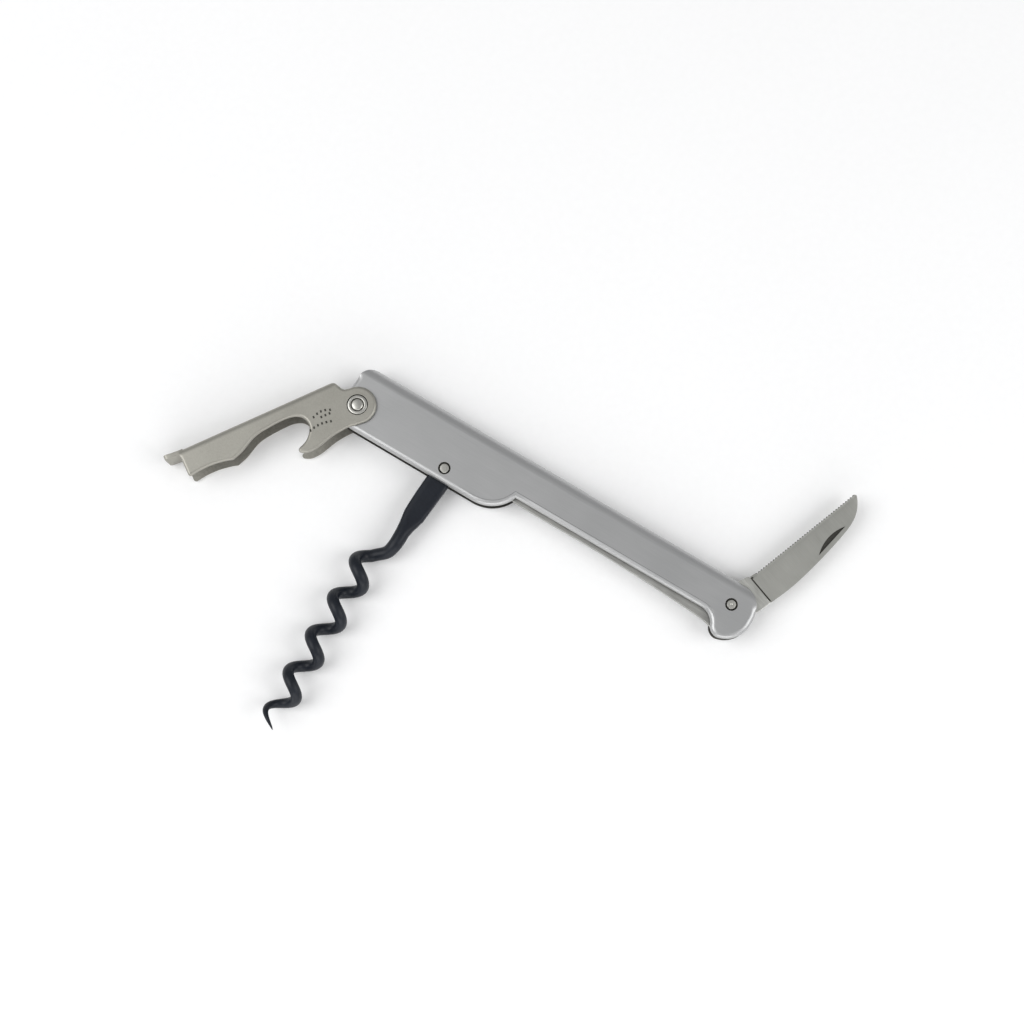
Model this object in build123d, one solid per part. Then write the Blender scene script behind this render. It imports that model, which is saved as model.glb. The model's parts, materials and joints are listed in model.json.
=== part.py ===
from build123d import *
import os
from math import cos, sin, pi

# Slim all-steel waiter's corkscrew lying flat, tools part open. Millimetres.
# +X runs along the handle to the knife end, +Y to the handle's folded spine, +Z through its thickness.
# Outlines are drawn about the worm pin and then moved so the origin is the middle of the footprint.
SHIFT = (-16.66, 15.03)

# through-thickness stack, measured up from the resting face of the lever
LEVER_T = 8.5          # lever outside width
LEVER_SHEET = 1.0
HANDLE_T = 6.2         # handle outside thickness
HANDLE_SHEET = 0.9
MID = LEVER_T / 2
Z0, Z1 = MID - HANDLE_T / 2, MID + HANDLE_T / 2
GAP = HANDLE_T - 2 * HANDLE_SHEET
WORM_T = 2.4           # flat forged shank of the worm
BLADE_T = 2.0
SPRING_T = 2.0
SLOT_T = 2.8           # slot in the spine that takes the folded knife

# joint axes
LEVER_AT = (-27.7, 2.6)
WORM_AT = (0.0, 0.0)
KNIFE_AT = (80.3, 7.1)
LEVER_ANGLE = 55.8     # tip end of the lever points the opposite way
KNIFE_ANGLE = 69.3
WORM_ANGLE = 0.9

# pins
BUSH_D, LEVER_RIVET_D, PIN_D = 5.2, 3.1, 2.6
FIT = 0.04             # radial running clearance

# handle outline
TOP_Y, WIDE_Y, NARROW_Y = 13.6, -3.4, 2.8
SLOT_X = 34.5          # inner end of the knife slot

# back of the lever, measured from its hinge in the lever's own frame
BACK_Y = 8.45

# worm
HELIX_X = -5.45        # helix axis beside the shank centre line
HELIX_R = 2.62
PITCH = 10.85
WIRE_R = (1.85, 1.6, 1.42)    # neck, first turn, last full turn
FIRST_LEFT_Y = -31.1   # first outer crest
TURNS = 4.0            # from first to last outer crest
TIP_TURN = 0.37


def slab(face, z0, z1):
    return Pos(0, 0, z0) * extrude(face, amount=z1 - z0)


def rod(x, y, d, z0, z1):
    return Pos(x, y, z0) * Cylinder(d / 2, z1 - z0, align=(Align.CENTER, Align.CENTER, Align.MIN))


def ring(x, y, outer, inner, z0, z1):
    return rod(x, y, outer, z0, z1) - rod(x, y, inner, z0 - 1, z1 + 1)


def domed_pin(x, y, d, z0, z1, rise):
    # flat at the back, a low dome of the given rise at the front
    r = (d * d / 4 + rise * rise) / (2 * rise)
    ball = Pos(x, y, z1 + rise - r) * Sphere(r)
    return rod(x, y, d, z0, z1) + (ball & rod(x, y, d, z1 - 0.2, z1 + rise + 1))


def closed(*edges):
    return make_face(Wire(list(edges)))


def handle_outline():
    arc = ThreePointArc
    return closed(
        arc((-27.7, TOP_Y), (-30.4, 12.3), (-31.6, 9.6)),
        Line((-31.6, 9.6), (-32.0, 5.0)),
        arc((-32.0, 5.0), (-31.0, -1.2), (-26.5, WIDE_Y)),
        Line((-26.5, WIDE_Y), (10.4, WIDE_Y)),
        arc((10.4, WIDE_Y), (17.1, -0.8), (19.6, NARROW_Y)),
        Line((19.6, NARROW_Y), (74.4, NARROW_Y)),
        arc((74.4, NARROW_Y), (76.9, 1.85), (78.3, -0.2)),
        arc((78.3, -0.2), (79.4, -1.4), (81.0, -1.9)),
        arc((81.0, -1.9), (85.2, 0.4), (86.95, 5.6)),
        arc((86.95, 5.6), (85.2, 11.1), (79.9, TOP_Y)),
        Line((79.9, TOP_Y), (-27.7, TOP_Y)))


def fold_section(r, y_low):
    # full-round fold along the spine, square below; drawn in the YZ plane
    c = TOP_Y - HANDLE_T / 2
    shape = Pos(c, MID) * Circle(r) + Pos((c + y_low) / 2, MID) * Rectangle(c - y_low, 2 * r)
    return Pos(-60, 0, 0) * extrude(Plane.YZ * shape, amount=180)


def handle_shell():
    body = slab(handle_outline(), Z0, Z1) & fold_section(HANDLE_T / 2, -10)
    body -= fold_section(GAP / 2, -20)
    body -= Pos(SLOT_X, 8, MID) * Box(80, 20, SLOT_T, align=(Align.MIN, Align.MIN, Align.CENTER))
    for (x, y), d in ((LEVER_AT, BUSH_D), (WORM_AT, PIN_D), (KNIFE_AT, PIN_D)):
        body -= rod(x, y, d + 2 * FIT, 0, LEVER_T)
    for x, y in (WORM_AT, KNIFE_AT):
        for z, low, high in ((Z0, 1.6, 1.3), (Z1, 1.3, 1.6)):
            body -= Pos(x, y, z) * Cone(low + 0.04, high + 0.04, 0.4)
    rims = [e for e in body.edges()
            if (abs(e.center().Z - Z0) < 0.01 or abs(e.center().Z - Z1) < 0.01)
            and e.geom_type != GeomType.CIRCLE and e.center().Y < 10.6]
    return fillet(rims, 0.45)


def back_spring():
    # leaf spring: eye round the lever bush, over the worm head, then along the open edge to the knife tang
    low = Spline((-23.5, 4.2), (-10, 4.3), (4, 4.0), (13, 3.6), (20, 1.95), (45, 1.9), (63.6, 1.3),
                 (76, 0.5), (79.5, -0.6))
    top = Spline((81.6, 2.0), (77.0, 2.6), (63.0, 4.1), (45, 5.0), (21, 5.5), (12, 7.0), (-10, 7.7),
                 (-23.5, 7.0))
    tip = Spline(low @ 1, (81.2, -0.8), (82.1, 0.4), top @ 0)
    leaf = closed(low, tip, top, Line(top @ 1, (-27.7, 6.4)), Line((-27.7, 6.4), (-24.6, 3.9)),
                  Line((-24.6, 3.9), low @ 0))
    x, y = LEVER_AT
    body = slab(leaf, MID - SPRING_T / 2, MID + SPRING_T / 2)
    body += rod(x, y, 7.8, MID - SPRING_T / 2, MID + SPRING_T / 2)
    return body - rod(x, y, BUSH_D + 2 * FIT, 0, LEVER_T)


def lever_outline():
    low = Spline((0, -4.9), (-4.65, -4.3), (-9.0, -4.8), (-13.5, -5.95), (-16.4, -6.1), (-18.1, -5.4),
                 tangents=((-1, 0), (-0.55, 0.83)))
    lip = ThreePointArc((-18.1, -5.4), (-18.5, -4.6), (-17.9, -4.0))
    recess = Spline((-17.9, -4.0), (-15.4, -2.75), (-13.5, 0.0), (-14.2, 2.9), (-17.0, 4.3), (-21.7, 4.3),
                    (-27.0, 3.55), (-31.6, 1.3), (-34.6, 0.3), tangents=((0.93, 0.36), (-1, -0.15)))
    sole = ThreePointArc((-34.6, 0.3), (-40.4, 1.35), (-46.0, 0.93))
    heel = ThreePointArc((-46.0, 0.93), (-46.44, 1.18), (-46.6, 1.6))
    neck = Spline((-4.2, BACK_Y), (-2.7, 7.4), (-2.05, 6.0), (0.0, 4.9), tangents=((1, 0), (1, 0)))
    eye = ThreePointArc((0, 4.9), (4.9, 0), (0, -4.9))
    return closed(eye, low, lip, recess, sole, heel, Line((-46.6, 1.6), (-46.6, BACK_Y)),
                  Line((-46.6, BACK_Y), (-4.2, BACK_Y)), neck)


def lever():
    body = slab(lever_outline(), 0, LEVER_T)
    body -= Pos(-60, -20, MID) * Box(80, BACK_Y - LEVER_SHEET + 20, LEVER_T - 2 * LEVER_SHEET,
                                     align=(Align.MIN, Align.MIN, Align.CENTER))
    tongue = Polyline((-45, BACK_Y), (-50.6, BACK_Y + 0.3), (-50.6, BACK_Y - 0.8),
                      (-45, BACK_Y - LEVER_SHEET), close=True)
    body += slab(make_face(tongue), 0.3, LEVER_T - 0.3)
    section = Pos(BACK_Y + 0.6 - 15, MID) * RectangleRounded(30, LEVER_T, 1.9)
    body &= Pos(-70, 0, 0) * extrude(Plane.YZ * section, amount=90)
    body -= rod(0, 0, BUSH_D + 2 * FIT, -1, LEVER_T + 1)
    return Pos(*LEVER_AT, 0) * Rot(0, 0, LEVER_ANGLE) * body


def worm_path():
    # centre line of the wire: down the neck, behind into the helix, then 4 turns and the point
    pts = [(-1.18, -17.0, MID), (-1.18, -20.0, MID), (-1.3, -22.6, MID - 0.1), (-2.1, -25.3, MID - 1.3),
           (HELIX_X + 1.0, -27.5, MID - 2.45)]
    steps = round((TURNS + TIP_TURN + 0.25) * 16)
    for i in range(steps + 1):
        turn = -0.25 + (TURNS + TIP_TURN + 0.25) * i / steps
        a = pi - 2 * pi * turn
        pts.append((HELIX_X + HELIX_R * cos(a), FIRST_LEFT_Y - PITCH * turn, MID + HELIX_R * sin(a)))
    return pts


def wire_radius(y):
    neck, first, last = WIRE_R
    y_taper = FIRST_LEFT_Y - PITCH * (TURNS - 0.35)
    y_tip = FIRST_LEFT_Y - PITCH * (TURNS + TIP_TURN)
    if y > -21:
        return neck
    if y > -28:
        return neck + (first - neck) * (-21 - y) / 7
    if y > y_taper:
        return first + (last - first) * (-28 - y) / (-28 - y_taper)
    return 0.16 + (last - 0.16) * max(0.0, (y - y_tip) / (y_taper - y_tip)) ** 0.75


def worm():
    line = Spline(*worm_path())
    sections = []
    side = Vector(1, 0, 0)
    for i in range(61):
        p, along = line @ (i / 60), line % (i / 60)
        side = (side - along * side.dot(along)).normalized()
        sections.append(Plane(origin=p, x_dir=side, z_dir=along) * Circle(wire_radius(p.Y)))
    wire = loft(sections)
    shank = Polyline((3.1, 0), (3.0, -4), (1.95, -14.4), (0.7, -18.6), (0.6, -21.5), (-2.95, -21.5),
                     (-3.05, -18.6), (-3.7, -14.4), (-3.25, -4), (-3.1, 0), close=True)
    body = slab(make_face(shank) + Circle(3.1), MID - WORM_T / 2, MID + WORM_T / 2)
    body += wire
    return Rot(0, 0, WORM_ANGLE) * (body - rod(0, 0, PIN_D + 2 * FIT, 0, LEVER_T))


def knife_blade():
    tang_r = 4.6
    edge_y = 2.1
    tang = ThreePointArc((2.2, tang_r * 0.878), (-tang_r, 0), (0, -tang_r))
    spine = Spline((9.2, -5.9), (13.9, -6.15), (19.0, -5.97), (26.8, -5.2), (34.6, -4.0), (38.5, -2.95),
                   (41.0, -1.3), (43.5, 0.95))
    tip = ThreePointArc((43.5, 0.95), (43.75, 1.75), (42.9, 2.2))
    heel = Polyline((0, -tang_r), (2.6, -4.95), (4.8, -5.7), (9.2, -5.9)).edges()
    shape = closed(tang, *heel, spine, tip, Line((42.9, 2.2), (10.6, edge_y)),
                   Line((10.6, edge_y), (8.0, 2.9)), Line((8.0, 2.9), (2.2, tang_r * 0.878)))
    body = slab(shape, MID - BLADE_T / 2, MID + BLADE_T / 2)
    for side in (1, -1):
        # hollow one flank down to the cutting edge, with a step where it leaves the tang
        out, start, end = (MID + side * (BLADE_T / 2 + z) for z in (0.5, -0.12, -0.78))
        flank = Plane.YZ * make_face(Polyline((-6.5, out), (-6.5, start), (2.7, end), (2.7, out), close=True))
        body -= Pos(8.7, 0, 0) * extrude(flank, amount=40)
    nick = Pos(31.0, -5.6, MID + BLADE_T / 2 + 0.1) * Rot(0, 0, 8) * Cylinder(6.6, 0.9)
    keep = Pos(31.0, -2.2, MID + 2) * Rot(0, 0, 8) * Box(11.0, 2.6, 5)
    body -= nick & keep
    body -= rod(0, 0, PIN_D + 2 * FIT, 0, LEVER_T)
    return Pos(*KNIFE_AT, 0) * Rot(0, 0, KNIFE_ANGLE) * body


def parts():
    made = {
        "handle_shell": handle_shell(),
        "back_spring": back_spring(),
        "lever": lever(),
        "lever_bush": ring(*LEVER_AT, BUSH_D, LEVER_RIVET_D + 2 * FIT, 0.0, LEVER_T),
        "lever_rivet": domed_pin(*LEVER_AT, LEVER_RIVET_D, 0.0, LEVER_T, 0.35),
        "worm": worm(),
        "worm_pin": domed_pin(*WORM_AT, PIN_D, Z0, Z1, 0.12),
        "knife_blade": knife_blade(),
        "knife_pin": domed_pin(*KNIFE_AT, PIN_D, Z0, Z1, 0.15),
    }
    for name, xy, thick, d in (("worm", WORM_AT, WORM_T, 5.6), ("knife", KNIFE_AT, BLADE_T, 5.2)):
        near, far = thick / 2 + 0.05, GAP / 2
        made[name + "_washer_front"] = ring(*xy, d, PIN_D + 2 * FIT, MID + near, MID + far)
        made[name + "_washer_rear"] = ring(*xy, d, PIN_D + 2 * FIT, MID - far, MID - near)
    return made


if __name__ == "__main__":
    os.makedirs("parts", exist_ok=True)
    for name, shape in parts().items():
        export_step(Pos(*SHIFT, 0) * shape, "parts/" + name + ".step")
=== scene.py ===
import json
from math import copysign, cos, pi, radians, sin, sqrt

import bmesh
import bpy
from mathutils import Matrix, Vector


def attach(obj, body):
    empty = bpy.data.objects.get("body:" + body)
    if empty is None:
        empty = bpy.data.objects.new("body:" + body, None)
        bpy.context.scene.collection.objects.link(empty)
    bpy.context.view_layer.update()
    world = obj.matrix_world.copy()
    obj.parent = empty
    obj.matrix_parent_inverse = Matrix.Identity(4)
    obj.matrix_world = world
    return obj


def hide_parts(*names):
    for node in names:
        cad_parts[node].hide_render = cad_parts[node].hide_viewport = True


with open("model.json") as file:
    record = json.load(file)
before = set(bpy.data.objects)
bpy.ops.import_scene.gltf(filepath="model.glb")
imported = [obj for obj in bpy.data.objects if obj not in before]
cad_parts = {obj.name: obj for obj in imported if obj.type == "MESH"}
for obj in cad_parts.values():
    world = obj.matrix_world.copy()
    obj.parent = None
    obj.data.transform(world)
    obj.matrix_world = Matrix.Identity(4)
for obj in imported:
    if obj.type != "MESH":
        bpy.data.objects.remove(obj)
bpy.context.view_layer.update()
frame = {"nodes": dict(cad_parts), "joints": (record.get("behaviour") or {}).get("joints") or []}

MM = 0.001
FULL_TURN = 2 * pi
scene = bpy.context.scene

# ---------------------------------------------------------------- frames; all shapes are in millimetres
hinge = {j["name"]: Vector(j["pos_m"]) for j in frame["joints"]}    # all three lie in the middle plane


def place(name, degrees=0.0):
    """Millimetres about a hinge, z = 0 in the middle plane, turned in the plane of the tool."""
    return Matrix.Translation(hinge[name]) @ Matrix.Rotation(radians(degrees), 4, "Z") @ Matrix.Scale(MM, 4)


HANDLE = place("worm_hinge")
WORM = place("worm_hinge", 0.9)
LEVER = place("lever_hinge", 55.8)
KNIFE = place("knife_hinge", 69.3)
LEVER_XY, KNIFE_XY = ((hinge[n] - hinge["worm_hinge"]).xy / MM for n in ("lever_hinge", "knife_hinge"))

HANDLE_HALF, LEVER_HALF = 3.1, 4.25         # half thicknesses
TOP_Y, WIDE_Y, NARROW_Y = 13.6, -3.4, 2.8   # spine and lower edges of the handle


# ---------------------------------------------------------------- outlines
def arc(a, b, c, n):
    """Points from a to c on the circle through a, b and c, without c."""
    (ax, ay), (bx, by), (cx, cy) = a, b, c
    d = 2 * (ax * (by - cy) + bx * (cy - ay) + cx * (ay - by))
    a2, b2, c2 = ax * ax + ay * ay, bx * bx + by * by, cx * cx + cy * cy
    centre = Vector(((a2 * (by - cy) + b2 * (cy - ay) + c2 * (ay - by)) / d,
                     (a2 * (cx - bx) + b2 * (ax - cx) + c2 * (bx - ax)) / d))
    start, mid, end = (Vector(p) - centre for p in (a, b, c))
    turn = -start.angle_signed(end)
    if start.angle_signed(mid) * start.angle_signed(end) < 0:
        turn += -FULL_TURN if turn > 0 else FULL_TURN
    return [tuple(centre + Matrix.Rotation(turn * i / n, 2) @ start) for i in range(n)]


def curve(points, n=6):
    """A smooth curve through the points, without the last one."""
    out = []
    ends = [points[0]] + list(points) + [points[-1]]
    for i in range(1, len(points)):
        p0, p1, p2, p3 = (Vector(p) for p in ends[i - 1:i + 3])
        for k in range(n):
            t = k / n
            out.append(tuple(0.5 * (2 * p1 + (p2 - p0) * t + (2 * p0 - 5 * p1 + 4 * p2 - p3) * t * t
                                    + (3 * p1 - p0 - 3 * p2 + p3) * t ** 3)))
    return out


def line(a, b, n=1):
    """Points from a towards b, without b."""
    return [tuple(Vector(a).lerp(Vector(b), i / n)) for i in range(n)]


def circle(x, y, r, n=40):
    return [(x + r * cos(FULL_TURN * i / n), y + r * sin(FULL_TURN * i / n)) for i in range(n)]


# ---------------------------------------------------------------- mesh tools
SAME = 1e-4                                 # points closer than this are one point


def draw(bm, points):
    """Draws a closed loop in the middle plane and gives its points and edges."""
    verts = [bm.verts.new((x, y, 0)) for x, y in points]
    return verts, [bm.edges.new((verts[i - 1], verts[i])) for i in range(len(verts))]


def soften(bm, width, segments=2):
    """Rounds every edge that turns by more than 50 degrees."""
    edges = [e for e in bm.edges if len(e.link_faces) == 2 and e.calc_face_angle(0) > radians(50)]
    bmesh.ops.bevel(bm, geom=edges, offset=width, offset_type="OFFSET", affect="EDGES",
                    segments=segments, profile=0.5, material=-1, clamp_overlap=True)


def points_of(result):
    """The points that an operator made."""
    return [g for g in result["geom"] if isinstance(g, bmesh.types.BMVert)]


def divide(bm, axis, cuts):
    """Cuts the mesh along planes across an axis, so that it can be bent or thinned there."""
    for c in cuts:
        bmesh.ops.bisect_plane(bm, geom=bm.verts[:] + bm.edges[:] + bm.faces[:], dist=1e-5,
                               plane_co=Vector(axis) * c, plane_no=axis)


def folded_sheet(outline, holes, shape, rim, thickness, rows, columns, web=False, bead=None):
    """A folded channel from its side outline. shape(y) gives the height of the outer face over the
    middle plane, how fully the rim is turned in there, and how far the face leans to the fold (0 to 1).
    bead(x, y) is how far the rim band stands above the face. A hole is (x, y, radius at the face,
    radius below, drop). With web, the spine is closed straight across."""
    bm = bmesh.new()
    depth = bm.verts.layers.float.new("depth")
    face = bm.faces.new(draw(bm, outline)[0])
    steps, bead_slope, lip = 6, 0.2, 0.15
    # the first ring has no width and its doubles are merged below, but the lip comes out finer with it
    at = [0.0] + [rim * (1 - sin(pi / 2 * (1 - k / steps))) for k in range(steps + 1)]
    if bead:
        at.append(rim + bead_slope)
    for low, high in zip(at, at[1:]):
        bmesh.ops.inset_region(bm, faces=[face], thickness=high - low, use_even_offset=True,
                               use_boundary=True)
        for v in face.verts:
            v[depth] = high
    inner = list(face.edges)
    bmesh.ops.delete(bm, geom=[face], context="FACES_ONLY")
    for hole in holes:
        ring_verts, ring_edges = draw(bm, circle(*hole[:3]))
        for v in ring_verts:
            v[depth] = at[-1]
        inner += ring_edges
    bmesh.ops.triangle_fill(bm, use_beauty=True, use_dissolve=False, edges=inner)
    bmesh.ops.remove_doubles(bm, verts=bm.verts, dist=SAME)
    divide(bm, (0, 1, 0), rows)
    divide(bm, (1, 0, 0), columns)
    # outer face
    for v in bm.verts:
        d = min(v[depth], rim)
        top, turned_in, lean = shape(v.co.y)
        if bead:
            top += bead(v.co.x, v.co.y) * min(1.0, max(0.0, (rim + bead_slope - v[depth]) / bead_slope))
        v.co.z = top - turned_in * (rim - sqrt(max(0.0, rim * rim - (rim - d) ** 2)))
    for x, y, r, r_below, drop in holes:
        centre = Vector((x, y))
        mouth = [e for e in bm.edges
                 if e.is_boundary and all((v.co.xy - centre).length < r + 0.02 for v in e.verts)]
        for v in points_of(bmesh.ops.extrude_edge_only(bm, edges=mouth)):
            v.co.xy = centre + (v.co.xy - centre) * r_below / r
            v.co.z -= drop
    if web:
        top = max(v.co.y for v in bm.verts)
        ridge = [e for e in bm.edges if e.is_boundary and all(v.co.y > top - SAME for v in e.verts)]
        for v in points_of(bmesh.ops.extrude_edge_only(bm, edges=ridge)):
            v.co.z = 0
    # inner face, one sheet thickness behind; towards the rims it runs out to a thin lip
    for v in points_of(bmesh.ops.extrude_face_region(bm, geom=bm.faces[:])):
        top, turned_in, lean = shape(v.co.y)
        run_out = turned_in * (1 - min(v[depth], rim) / rim)
        if v.co.z > SAME:
            v.co.z = max(0.0, top - thickness * sqrt(1 - lean ** 2) - (rim + lip - thickness) * run_out)
        v.co.y -= thickness * lean
    seam = [f for f in bm.faces if all(abs(v.co.z) < SAME for v in f.verts)]
    bmesh.ops.delete(bm, geom=seam, context="FACES")
    other = bmesh.ops.duplicate(bm, geom=bm.verts[:] + bm.edges[:] + bm.faces[:])
    bmesh.ops.scale(bm, vec=(1, 1, -1), verts=points_of(other))
    bmesh.ops.remove_doubles(bm, verts=bm.verts, dist=0.002)
    bmesh.ops.recalc_face_normals(bm, faces=bm.faces)
    return bm


def paint(bm, test, index=1):
    """Gives the faces that pass test(centre, normal) another material of the piece."""
    for f in bm.faces:
        f.normal_update()
        if test(f.calc_center_median(), f.normal):
            f.material_index = index


def plate(outline, low, high, holes=()):
    """A flat piece with this outline and these holes, from one height to another."""
    bm = bmesh.new()
    edges = draw(bm, outline)[1]
    for hole in holes:
        edges += draw(bm, hole)[1]
    bmesh.ops.triangle_fill(bm, use_beauty=True, use_dissolve=False, edges=edges)
    bmesh.ops.translate(bm, vec=(0, 0, low), verts=bm.verts)
    upper = bmesh.ops.extrude_face_region(bm, geom=bm.faces[:])
    bmesh.ops.translate(bm, vec=(0, 0, high - low), verts=points_of(upper))
    bmesh.ops.recalc_face_normals(bm, faces=bm.faces)
    return bm


def turned(profile):
    """A turned piece: the profile (radius, z) spun about z."""
    bm = bmesh.new()
    verts = [bm.verts.new((r, 0, z)) for r, z in profile]
    edges = [bm.edges.new(pair) for pair in zip(verts, verts[1:])]
    bmesh.ops.spin(bm, geom=verts + edges, cent=(0, 0, 0), axis=(0, 0, 1), angle=FULL_TURN, steps=64,
                   use_merge=True)
    bmesh.ops.remove_doubles(bm, verts=bm.verts, dist=0.0005)
    bmesh.ops.recalc_face_normals(bm, faces=bm.faces)
    return bm


def join(bm, other):
    """Adds the other mesh, which is used up, as a loose part of the first."""
    spare = bpy.data.meshes.new("spare")
    other.to_mesh(spare)
    bm.from_mesh(spare)
    bpy.data.meshes.remove(spare)
    other.free()
    return bm


def piece(name, bm, where, body, materials, nodes=(), sharp=32):
    """Makes the mesh a piece of the tool. Flat faces stay flat, and edges past the angle stay sharp."""
    bmesh.ops.transform(bm, matrix=where, verts=bm.verts)
    mesh = bpy.data.meshes.new(name)
    bm.to_mesh(mesh)
    bm.free()
    mesh.set_sharp_from_angle(angle=radians(sharp))
    mesh.polygons.foreach_set("use_smooth", [abs(p.normal.z) < 0.99995 for p in mesh.polygons])
    for material in materials:
        mesh.materials.append(material)
    obj = bpy.data.objects.new(name, mesh)
    scene.collection.objects.link(obj)
    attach(obj, body)
    if nodes:
        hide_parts(*nodes)


# ---------------------------------------------------------------- materials
def colour(code):
    """An sRGB hex colour, turned to linear."""
    def channel(i):
        c = int(code[i:i + 2], 16) / 255
        return c / 12.92 if c <= 0.04045 else ((c + 0.055) / 1.055) ** 2.4
    return (channel(0), channel(2), channel(4), 1.0)


def add(tree, kind, settings=(), links=()):
    """Adds a node, sets its values by socket or property name, and links its inputs."""
    node = tree.nodes.new(kind)
    for key, value in dict(settings).items():
        if hasattr(node, key) and key not in node.inputs:
            setattr(node, key, value)
        else:
            node.inputs[key].default_value = value
    for key, source in dict(links).items():
        tree.links.new(source, node.inputs[key])
    return node


GRAIN_LOW, GRAIN_HIGH = 0.3, 0.7            # the part of the noise's range that the colours span


def finish_material(name, light, dark, metallic, rough, rough_swing, grain, turn, bump, cloud, extra=()):
    """A finish with fine grain. grain is the size of a mark in millimetres (x, y, z) before it is
    turned, and cloud that of the broad, faint patches."""
    material = bpy.data.materials.new(name)
    material.use_nodes = True
    tree = material.node_tree
    tree.nodes.clear()
    where = add(tree, "ShaderNodeTexCoord").outputs["Object"]
    mapping = add(tree, "ShaderNodeMapping",
                  {"vector_type": "TEXTURE", "Rotation": (0, 0, radians(turn)),
                   "Scale": [g * MM for g in grain]},
                  {"Vector": where})
    marks = add(tree, "ShaderNodeTexNoise", {"Scale": 1.0, "Detail": 4.0, "Roughness": 0.6},
                {"Vector": mapping.outputs["Vector"]})
    clouds = add(tree, "ShaderNodeTexNoise", {"Scale": 1 / (cloud * MM), "Detail": 3.0, "Roughness": 0.5},
                 {"Vector": where})
    both = add(tree, "ShaderNodeMix", {"data_type": "FLOAT", "Factor": 0.35},
               {"A": marks.outputs["Fac"], "B": clouds.outputs["Fac"]})
    ramp = add(tree, "ShaderNodeValToRGB", links={"Fac": both.outputs["Result"]})
    for stop, position, code in zip(ramp.color_ramp.elements, (GRAIN_LOW, GRAIN_HIGH), (dark, light)):
        stop.position = position
        stop.color = colour(code)
    roughness = add(tree, "ShaderNodeMapRange",
                    {"From Min": GRAIN_LOW, "From Max": GRAIN_HIGH,
                     "To Min": rough - rough_swing, "To Max": rough + rough_swing},
                    {"Value": both.outputs["Result"]})
    relief = add(tree, "ShaderNodeBump", {"Strength": bump, "Distance": 0.02 * MM},
                 {"Height": marks.outputs["Fac"]})
    shader = add(tree, "ShaderNodeBsdfPrincipled", {"Metallic": metallic},
                 {"Base Color": ramp.outputs["Color"], "Roughness": roughness.outputs["Result"],
                  "Normal": relief.outputs["Normal"]})
    for key, value in dict(extra).items():
        shader.inputs[key].default_value = value
    add(tree, "ShaderNodeOutputMaterial", links={"Surface": shader.outputs["BSDF"]})
    return material


# cold-rolled stainless sheet, satin along its length: neutral grey with very fine faint lines
satin_sheet = finish_material("satin_stainless_sheet", "bfbfbf", "b4b5b5", 1.0, 0.44, 0.03,
                              (11.0, 0.16, 0.16), 0, 0.12, cloud=16.0)
# vapour-blasted stainless: slightly warmer, a fine even grain with no direction
blasted_steel = finish_material("vapour_blasted_stainless", "afada5", "9e9c94", 1.0, 0.50, 0.04,
                                (0.35, 0.35, 0.35), 0, 0.6, cloud=9.0)
# inside and cut faces of the handle: dull, with a darker grey painted on as shade, for faces that lie in
# the channel's shadow
painted_shade_handle_inside = finish_material("handle_inside_painted_shade", "8c8b86", "6f6e69", 1.0, 0.60, 0.06,
                                 (0.6, 0.6, 0.6), 0, 0.5, cloud=5.0)
# inside of the lever and underside of its tongue: dull and half metallic, with a darker grey painted on as
# shade
painted_shade_lever_inside = finish_material("lever_inside_painted_shade", "a3a199", "85837c", 0.55, 0.70, 0.06,
                                 (0.6, 0.6, 0.6), 0, 0.6, cloud=5.0)
# painted shade for narrow recesses, gaps and dark marks: a dark grey where shade falls
painted_shade_recess = finish_material("recess_painted_shade", "55544f", "3c3b38", 0.8, 0.60, 0.06,
                              (0.5, 0.5, 0.5), 0, 0.4, cloud=3.0)
# tumbled rivet steel: close to the sheet, a little brighter
rivet_steel = finish_material("tumbled_rivet_steel", "cccbc5", "b5b4ae", 1.0, 0.36, 0.05,
                              (0.5, 0.5, 0.5), 0, 0.3, cloud=3.0)
# knife steel ground across its length: fine cross lines
ground_blade = finish_material("cross_ground_knife_steel", "c0c0ba", "b0b0aa", 1.0, 0.42, 0.04,
                               (0.14, 5.0, 5.0), 69.3, 0.2, cloud=9.0)
# tang, coarser ground and brighter
ground_tang = finish_material("coarse_ground_tang_steel", "dcdcd6", "b4b4ae", 1.0, 0.36, 0.05,
                              (0.3, 3.5, 3.5), 69.3, 0.4, cloud=4.0)
# spring strip: blanked edge, plain grey
blanked_spring = finish_material("blanked_spring_steel", "c3c3bf", "a3a39f", 1.0, 0.42, 0.05,
                                 (3.0, 0.3, 0.3), 0, 0.3, cloud=6.0)
# fluoropolymer-coated steel wire: blue-black, softly shining
black_coating = finish_material("black_fluoropolymer_coating", "1b2029", "12161d", 0.0, 0.42, 0.07,
                                (0.6, 0.6, 0.6), 0, 0.5, cloud=4.0,
                                extra={"Specular IOR Level": 0.28})

# ---------------------------------------------------------------- handle: one folded sheet
HANDLE_RIM, HANDLE_SHEET = 1.2, 0.85
FOLD_Y = TOP_Y - HANDLE_HALF                # the fold begins here and is fully round
BEAD_RISE = 0.13                            # the rim band of the narrow part stands this far above the face
SLOT_X, SLOT_HALF, SLOT_END = 34.5, 1.4, 1.2
SLOT_Y = FOLD_Y + sqrt(HANDLE_HALF ** 2 - SLOT_HALF ** 2)
SLOT_CLEAR = SLOT_HALF - 0.15               # half width left for the knife at the sheet's inner side
PIN_R, PIN_SEAT_R = 1.3, 1.58               # the pins and the countersunk seats around their heads
BUSH_HOLE_R = 2.66


def smooth(low, high, x):
    """Rises from 0 at low to 1 at high, level at both ends."""
    t = min(1.0, max(0.0, (x - low) / (high - low)))
    return t * t * (3 - 2 * t)


def handle_shape(y):
    over = min(max(0.0, y - FOLD_Y), HANDLE_HALF)
    return sqrt(HANDLE_HALF ** 2 - over ** 2), 1 - smooth(8.2, 10.2, y), over / HANDLE_HALF


def handle_bead(x, y):
    """The bead runs along the open edge, from past the worm's pin to the bulb."""
    return BEAD_RISE * smooth(6, 13, x) * (1 - smooth(74, 80, x)) if y < 8 else 0.0


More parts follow.
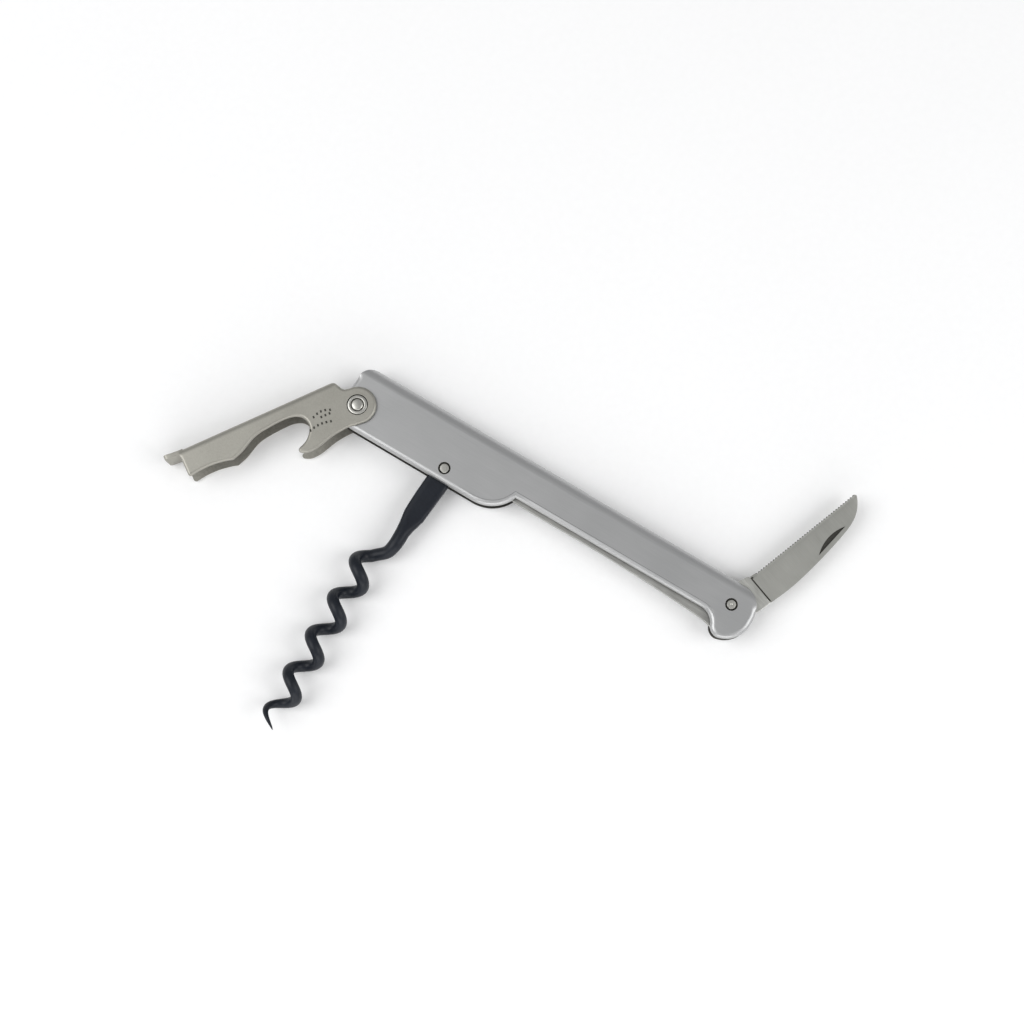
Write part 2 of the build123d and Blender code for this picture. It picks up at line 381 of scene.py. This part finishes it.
notch = (19.6, NARROW_Y)
handle_outline = (
    arc((-27.7, TOP_Y), (-30.4, 12.3), (-31.6, 9.6), 10) + line((-31.6, 9.6), (-32.0, 5.0), 3)
    + arc((-32.0, 5.0), (-31.0, -1.2), (-26.5, WIDE_Y), 12) + line((-26.5, WIDE_Y), (10.4, WIDE_Y), 6)
    + arc((10.4, WIDE_Y), (17.1, -0.8), notch, 14) + line(notch, (74.4, NARROW_Y), 9)
    + arc((74.4, NARROW_Y), (76.9, 1.85), (78.3, -0.2), 8)
    + arc((78.3, -0.2), (79.4, -1.4), (81.0, -1.9), 5)
    + arc((81.0, -1.9), (85.2, 0.4), (86.95, 5.6), 14) + arc((86.95, 5.6), (85.2, 11.1), (79.9, TOP_Y), 16))
handle_outline = [p for p in handle_outline if p[1] < SLOT_Y - 0.02 or p[0] < 0]
handle_outline += line((81.6, SLOT_Y), (SLOT_X + SLOT_END, SLOT_Y), 8)
handle_outline += arc((SLOT_X + SLOT_END, SLOT_Y), (SLOT_X + 0.3, SLOT_Y + 0.12), (SLOT_X, TOP_Y), 4)
handle_outline += line((SLOT_X, TOP_Y), (-27.7, TOP_Y), 6)

PIN_HOLE = (1.62, 1.36, 0.4)                # countersunk: radius at the face, radius below, drop
fold_rows = [FOLD_Y + HANDLE_HALF * sin(pi / 2 * k / 14) for k in range(14)] + [8.6, 9.2, 9.8]
shell = folded_sheet(
    handle_outline,
    [(*LEVER_XY, BUSH_HOLE_R + 0.02, BUSH_HOLE_R, 0.05), (0, 0, *PIN_HOLE), (*KNIFE_XY, *PIN_HOLE)],
    handle_shape, HANDLE_RIM, HANDLE_SHEET, fold_rows, [x * 8.0 for x in range(-3, 11)], bead=handle_bead)
for v in shell.verts:                       # the slot is cut square, clear of the knife
    if v.co.x > SLOT_X + SLOT_END + 0.05 and abs(v.co.z) < SLOT_CLEAR:
        v.co.z = copysign(SLOT_CLEAR, v.co.z)


def inside_handle(c, n):
    cut_end = c.x < -27.5 and c.y > 9.5 and abs(n.z) < 0.35 and n.x < -0.3
    return n.z * c.z < -0.2 or (c.y > SLOT_Y - 1.2 and n.y < -0.5) or cut_end


def pin_seat(c, n):
    return min(c.xy.length, (c.xy - KNIFE_XY).length) < PIN_SEAT_R and abs(c.z) < HANDLE_HALF - 0.02


# painted shade: the inside faces, the slot's walls and the cut end of the fold are painted a darker grey
paint(shell, inside_handle)
# painted shade: the countersunk seats around the pin heads are painted dark grey
paint(shell, pin_seat, 2)
soften(shell, 0.1)
piece("handle_sheet", shell, HANDLE, "handle", [satin_sheet, painted_shade_handle_inside, painted_shade_recess],
      ["handle_shell"])

# ---------------------------------------------------------------- back spring
SPRING_HALF = 1.0
spring = plate(curve([(-23.5, 4.2), (-10, 4.3), (4, 4.0), (13, 3.6), (20, 1.95), (45, 1.9), (63.6, 1.3),
                      (76, 0.5), (79.5, -0.6), (81.2, -0.8), (82.1, 0.4), (81.6, 2.0)])
               + curve([(81.6, 2.0), (77.0, 2.6), (63.0, 4.1), (45, 5.0), (21, 5.5), (12, 7.0), (-10, 7.7),
                        (-25.5, 6.6)])
               + arc((-25.5, 6.6), (-31.6, 2.6), (-25.5, -0.6), 20) + line((-25.5, -0.6), (-23.5, 4.2), 2),
               -SPRING_HALF, SPRING_HALF, holes=[circle(*LEVER_XY, BUSH_HOLE_R)])
soften(spring, 0.15)
piece("spring_strip", spring, HANDLE, "handle", [blanked_spring], ["back_spring"])

# ---------------------------------------------------------------- boot lever: a channel with a closed back
BACK, BEND = 8.45, 1.7                      # outer side of the closed back, outer radius of its bends
LEVER_RIM, LEVER_SHEET, EYE_R = 0.68, 0.8, 2.7


def lever_shape(y):
    over = min(max(0.0, y - (BACK - BEND)), BEND)
    return LEVER_HALF - BEND + sqrt(BEND ** 2 - over ** 2), 1 - smooth(5.6, 7.2, y), over / BEND


lever_outline = (
    arc((0, 4.9), (4.9, 0), (0, -4.9), 28)
    + curve([(0, -4.9), (-2.4, -4.65), (-4.65, -4.35), (-9.0, -4.8), (-13.5, -5.95), (-16.4, -6.1),
             (-18.1, -5.4)])
    + arc((-18.1, -5.4), (-18.5, -4.6), (-17.9, -4.0), 5)
    + curve([(-17.9, -4.0), (-15.4, -2.75), (-13.5, 0.0), (-14.2, 2.9), (-17.0, 4.3), (-21.7, 4.3),
             (-27.0, 3.55), (-31.6, 1.3), (-34.6, 0.3)])
    + arc((-34.6, 0.3), (-40.4, 1.35), (-46.0, 0.93), 9)
    + arc((-46.0, 0.93), (-46.44, 1.18), (-46.6, 1.6), 4)
    + line((-46.6, 1.6), (-46.6, BACK), 4) + line((-46.6, BACK), (-4.4, BACK), 10)
    + curve([(-4.4, BACK), (-3.1, 7.8), (-2.35, 6.5), (-1.5, 5.3), (0, 4.9)]))
boot = folded_sheet(lever_outline, [(0, 0, EYE_R + 0.04, EYE_R, 0.08)], lever_shape, LEVER_RIM, LEVER_SHEET,
                    [BACK - BEND + BEND * sin(pi / 2 * k / 8) for k in range(8)] + [5.6, 6.2],
                    [-x * 4.0 for x in range(1, 12)], web=True)
# painted shade: the lever's inside faces and the inside of its closed back are painted a darker grey
paint(boot, lambda c, n: n.z * c.z < -0.2 or (c.y > BACK - 1.6 and n.y < -0.5))
# painted shade: the eye's hole wall around the bush is painted dark grey
paint(boot, lambda c, n: c.xy.length < EYE_R + 0.02 and abs(c.z) < LEVER_HALF - 0.02, 2)
soften(boot, 0.08)

# tongue at the tip: a wide lip carried on from the closed back, slightly flared
TIP_X, TONGUE, FLARE = -50.6, 1.1, 0.3
tongue = plate([(-45.4, -3.7)] + line((-45.4, 3.7), (-49.7, 3.95), 3)
               + arc((-49.7, 3.95), (-50.35, 3.7), (TIP_X, 3.1), 5) + line((TIP_X, 3.1), (TIP_X, -3.1), 2)
               + arc((TIP_X, -3.1), (-50.35, -3.7), (-49.7, -3.95), 5)
               + line((-49.7, -3.95), (-45.4, -3.7), 3), 0, TONGUE)
bmesh.ops.remove_doubles(tongue, verts=tongue.verts, dist=0.001)
soften(tongue, 0.2, 3)
for v in tongue.verts:
    v.co = (v.co.x, BACK - TONGUE + v.co.z + FLARE * smooth(-46.6, TIP_X, v.co.x), v.co.y)
bmesh.ops.recalc_face_normals(tongue, faces=tongue.faces)
# painted shade: the tongue's underside is painted the darker grey
paint(tongue, lambda c, n: n.y < -0.6)
boot = join(boot, tongue)

# a neutral stamp beside the eye: three short rows of shallow ticks
for row, count, v0, bow in ((0, 5, 2.3, 0.5), (1, 3, 0.9, 0.0), (2, 6, -0.7, 0.25)):
    for k in range(count):
        u = -6.9 - 1.15 * k - 0.5 * row
        v = v0 - bow * (k - (count - 1) / 2) ** 2 * 0.3
        tick = plate([(u - 0.28, v - 0.3), (u + 0.2, v - 0.36), (u + 0.26, v + 0.3), (u - 0.2, v + 0.34)],
                     LEVER_HALF - 0.1, LEVER_HALF + 0.012)
        # painted shade: each tick is dark grey, as the shade in a stamped mark
        paint(tick, lambda c, n: True, 2)
        boot = join(boot, tick)
piece("boot_lever", boot, LEVER, "lever", [blasted_steel, painted_shade_lever_inside, painted_shade_recess],
      ["lever"])

# ---------------------------------------------------------------- rivets, lathe-turned
lever_axis, pin_axis, knife_axis = place("lever_hinge"), place("worm_hinge"), place("knife_hinge")
top = LEVER_HALF
bush = turned([(1.68, -top + 0.1), (1.75, -top), (2.4, -top), (2.55, -top + 0.15), (2.55, top - 0.12),
               (2.5, top - 0.02), (2.42, top + 0.03), (1.9, top + 0.04), (1.76, top), (1.7, top - 0.12),
               (1.68, top - 0.4), (1.68, -top + 0.1)])
piece("lever_eye_bush", bush, lever_axis, "handle", [rivet_steel], ["lever_bush"])
head = turned([(0, -top + 0.02), (1.3, -top + 0.02), (1.48, -top + 0.2), (1.5, top - 0.1),
               (1.46, top + 0.04), (1.34, top + 0.15), (1.1, top + 0.22), (0.6, top + 0.28),
               (0, top + 0.3)])
piece("lever_rivet_head", head, lever_axis, "handle", [rivet_steel], ["lever_rivet"])
top = HANDLE_HALF
for name, node, axis, rise, dent in (("worm_rivet", "worm_pin", pin_axis, 0.1, 0.0),
                                     ("knife_rivet", "knife_pin", knife_axis, 0.13, 0.12)):
    pin = turned([(0, -top + 0.02), (1.05, -top + 0.02), (1.2, -top + 0.12), (PIN_R, -top + 0.5),
                  (PIN_R, top - 0.45), (1.2, top - 0.28), (1.17, top - 0.03), (1.08, top + rise * 0.6),
                  (0.9, top + rise * 0.85), (0.5, top + rise), (0.3, top + rise),
                  (0.18, top + rise - dent * 0.7), (0, top + rise - dent)])
    piece(name, pin, axis, "handle", [rivet_steel], [node])

# ---------------------------------------------------------------- worm: one forged and coiled wire
HELIX_X, HELIX_R, PITCH, FIRST_Y = -5.45, 2.62, 10.85, -31.1
RUN_IN, TURNS = 0.25, 4.37                  # turns before and after the first crossing of the middle plane
SHANK_END, NECK_END = -21.4, -28            # the wire is round from here, and full in the coil from there
SHANK_R, COIL_R, TAPER_R, POINT_R = 1.85, 1.62, 1.42, 0.1
TAPER_TURNS = 0.77                          # the last part of the coil, which runs to the point


def worm_stations():
    """Centre, half width in the plane, half thickness and squareness along the worm."""
    rows = [(0.0, 3.05, 0.2, 1.1, 2), (0.0, 2.7, 1.3, 1.15, 2.2), (0.0, 2.0, 2.25, 1.2, 3),
            (0.0, 1.0, 2.85, 1.2, 4), (0.0, -0.2, 3.05, 1.2, 5), (-0.05, -3.0, 3.08, 1.2, 6),
            (-0.3, -6.0, 3.05, 1.2, 6), (-0.55, -9.0, 3.0, 1.2, 6), (-0.75, -12.0, 2.92, 1.2, 6),
            (-0.88, -14.4, 2.8, 1.25, 5), (-1.0, -16.2, 2.42, 1.4, 3.6), (-1.12, -17.8, 2.08, 1.6, 2.6),
            (-1.18, -19.4, 1.9, 1.8, 2.1), (-1.18, SHANK_END, 1.86, SHANK_R, 2)]
    line_up = [(Vector((x, y, 0)), a, b, n) for x, y, a, b, n in rows]
    bend = curve([(-1.18, SHANK_END, 0), (-1.35, -23.4, -0.2), (-2.2, -25.6, -1.35),
                  (HELIX_X + 1.0, -27.5, -2.45),
                  (HELIX_X, FIRST_Y + PITCH * RUN_IN, -HELIX_R)], 5)[1:]
    steps = 150
    coil = []
    for i in range(steps + 1):
        turn = -RUN_IN + (TURNS + RUN_IN) * i / steps
        angle = pi - FULL_TURN * turn
        coil.append((HELIX_X + HELIX_R * cos(angle), FIRST_Y - PITCH * turn, HELIX_R * sin(angle)))
    tip_y = coil[-1][1]
    taper_y = tip_y + PITCH * TAPER_TURNS
    for p in bend + coil:
        y = p[1]
        if y > NECK_END:
            r = SHANK_R - (SHANK_R - COIL_R) * smooth(SHANK_END, NECK_END, y)
        elif y > taper_y:
            r = COIL_R - (COIL_R - TAPER_R) * (NECK_END - y) / (NECK_END - taper_y)
        else:
            r = POINT_R + (TAPER_R - POINT_R) * max(0.0, (y - tip_y) / (taper_y - tip_y)) ** 0.75
        line_up.append((Vector(p), r, r, 2))
    return line_up


stations = worm_stations()
wire = bmesh.new()
side = Vector((1, 0, 0))
before = None
for i, (centre, half_w, half_t, square) in enumerate(stations):
    ahead = (stations[min(i + 1, len(stations) - 1)][0] - stations[max(i - 1, 0)][0]).normalized()
    side = (side - ahead * side.dot(ahead)).normalized()
    up = ahead.cross(side)
    ring = bmesh.ops.create_circle(wire, segments=28, radius=1.0, cap_ends=False)["verts"]
    for v in ring:
        c, s = v.co.x, v.co.y
        stretch = (abs(c) ** square + abs(s) ** square) ** (-1 / square)
        v.co = centre + side * c * stretch * half_w + up * s * stretch * half_t
    edges = list(dict.fromkeys(e for v in ring for e in v.link_edges))
    if before:
        bmesh.ops.bridge_loops(wire, edges=before + edges)
    else:
        bmesh.ops.edgeloop_fill(wire, edges=edges)
    before = edges
bmesh.ops.edgeloop_fill(wire, edges=before)
bmesh.ops.recalc_face_normals(wire, faces=wire.faces)
piece("coated_worm", wire, WORM, "worm", [black_coating], ["worm"], sharp=50)

# ---------------------------------------------------------------- foil knife
TEETH = 40
EDGE_FROM, EDGE_TO, EDGE_V = 10.6, 43.0, 2.2
BLADE_HALF, TANG_HALF, CORE_HALF = 0.98, 1.05, 0.6
TANG_END, STEP_U = 8.45, 8.85               # a narrow groove parts the tang from the ground blade
NICK_FLOOR = 0.5
spine_curve = [(STEP_U, -5.9), (13.9, -6.15), (19.0, -5.97), (26.8, -5.2), (34.6, -4.0), (38.5, -2.95),
               (41.0, -1.5), (42.6, 0.1), (43.55, 1.4)]


def spine_v(u):
    """Where the spine of the blade lies, at u along it."""
    for (u0, v0), (u1, v1) in zip(spine_curve, spine_curve[1:]):
        if u <= u1:
            return v0 + (v1 - v0) * (u - u0) / (u1 - u0)
    return spine_curve[-1][1]


def ground_flat(bm):
    """Thins the flanks from the spine towards the cutting edge."""
    for v in bm.verts:
        high = min(spine_v(v.co.x), 0.5)
        share = max(0.0, (v.co.y - high) / (EDGE_V - high))
        v.co.z *= (1 - 0.35 * share) * (1 - 0.7 * smooth(EDGE_V - 0.7, EDGE_V - 0.1, v.co.y))


tooth = (EDGE_TO - EDGE_FROM) / TEETH
blade_outline = curve(spine_curve, 5) + arc((43.55, 1.4), (43.6, 1.95), (43.2, EDGE_V), 4)
for k in range(TEETH):
    u = EDGE_TO - tooth * k
    blade_outline += [(u, EDGE_V), (u - tooth * 0.3, 1.98), (u - tooth * 0.7, 1.96)]
blade_outline += [(EDGE_FROM, EDGE_V), (9.8, 2.4), (STEP_U, 2.45)]

# nail nick: a crescent sunk into the front face beside the spine, closed below by its own floor
nick_line = line((25.9, -4.25), (36.1, -2.75), 12) + arc((36.1, -2.75), (31.6, -2.15), (25.9, -4.25), 14)
blade = plate(blade_outline, -BLADE_HALF, BLADE_HALF, holes=[nick_line])
divide(blade, (1, 0, 0), [9.5 + i for i in range(34)])
divide(blade, (0, 1, 0), [-5 + 0.6 * i for i in range(12)])
ground_flat(blade)
floor_line = [(31 + (u - 31) * 1.01, -3.0 + (v + 3.0) * 1.05) for u, v in nick_line]
nick = plate(floor_line, 0.02 - BLADE_HALF, NICK_FLOOR)
ground_flat(nick)
# painted shade: the nick's floor is painted dark grey
paint(nick, lambda c, n: n.z > 0.5)
# painted shade: the band along the serrated edge is painted dark grey
paint(blade, lambda c, n: c.y > 1.9 and c.x > 10)
# painted shade: the groove's core between tang and blade is painted dark grey all over
core = plate([(7.6, -5.5), (9.2, -5.6), (9.2, 2.1), (7.6, 2.3)], -CORE_HALF, CORE_HALF)
paint(core, lambda c, n: True)
blade = join(join(blade, nick), core)
bmesh.ops.recalc_face_normals(blade, faces=blade.faces)
piece("foil_blade", blade, KNIFE, "knife", [ground_blade, painted_shade_recess], ["knife_blade"],
      sharp=22)

tang = plate(arc((2.2, 4.04), (-4.6, 0), (0, -4.6), 28) + line((0, -4.6), (2.6, -4.95), 1)
             + curve([(2.6, -4.95), (4.8, -5.7), (TANG_END, -5.88)], 5)
             + line((TANG_END, -5.88), (TANG_END, 2.6), 2) + line((TANG_END, 2.6), (8.0, 2.9), 1)
             + line((8.0, 2.9), (2.2, 4.04), 3), -TANG_HALF, TANG_HALF, holes=[circle(0, 0, PIN_R + 0.04)])
soften(tang, 0.12)
piece("knife_tang", tang, KNIFE, "knife", [ground_tang])

# ---------------------------------------------------------------- kept CAD nodes: the hidden washers
for name in ("worm_washer_front", "worm_washer_rear", "knife_washer_front", "knife_washer_rear"):
    data = frame["nodes"][name].data
    data.materials.clear()
    data.materials.append(rivet_steel)

# ---------------------------------------------------------------- stage
# plain matt paper under the tool
paper = finish_material("matt_white_paper", "fbfbfb", "f8f8f8", 0.0, 0.9, 0.02, (2, 2, 2), 0, 0.0,
                        cloud=60.0)
ground = bmesh.new()
bmesh.ops.create_grid(ground, x_segments=1, y_segments=1, size=3.0)
floor_mesh = bpy.data.meshes.new("floor")
ground.to_mesh(floor_mesh)
ground.free()
floor_mesh.materials.append(paper)
floor = bpy.data.objects.new("floor", floor_mesh)
scene.collection.objects.link(floor)

TURN = radians(30.82)                       # the view is turned this far about the vertical
TILT = radians(10)                          # and leans this far from straight above
DISTANCE = 0.385
target = HANDLE @ Vector((20.44, -0.46, 0))


def from_view(right, up, high):
    """A point given to the right of, above (in the view) and over the target, in metres."""
    return target + Matrix.Rotation(TURN, 3, "Z") @ Vector((right, up, high))


def lamp(name, at, size, size_y, power):
    """A white softbox, aimed at the target."""
    data = bpy.data.lights.new(name, "AREA")
    data.shape, data.size, data.size_y, data.energy = "RECTANGLE", size, size_y, power
    obj = bpy.data.objects.new(name, data)
    scene.collection.objects.link(obj)
    obj.location = at
    obj.rotation_euler = (target - at).to_track_quat("-Z", "Y").to_euler()


lamp("left_softbox", from_view(-0.75, -0.05, 0.85), 0.9, 0.9, 7.0)
lamp("right_fill", from_view(0.9, -0.2, 0.7), 0.8, 0.8, 5.0)
lamp("front_strip", from_view(0.0, -1.0, 0.3), 1.3, 0.5, 4.2)

world = bpy.data.worlds.new("studio")
scene.world = world
world.use_nodes = True
background = world.node_tree.nodes["Background"]
background.inputs["Color"].default_value = (0.985, 0.99, 1.0, 1)
background.inputs["Strength"].default_value = 0.45

camera = bpy.data.cameras.new("camera")
camera.lens, camera.sensor_width, camera.clip_start = 52.73, 36.0, 0.01
eye = bpy.data.objects.new("camera", camera)
scene.collection.objects.link(eye)
eye.location = from_view(0, -DISTANCE * sin(TILT), DISTANCE * cos(TILT))
eye.rotation_euler = (Matrix.Rotation(TURN, 3, "Z") @ Matrix.Rotation(TILT, 3, "X")).to_euler()
scene.camera = eye
scene.view_settings.view_transform = "Standard"
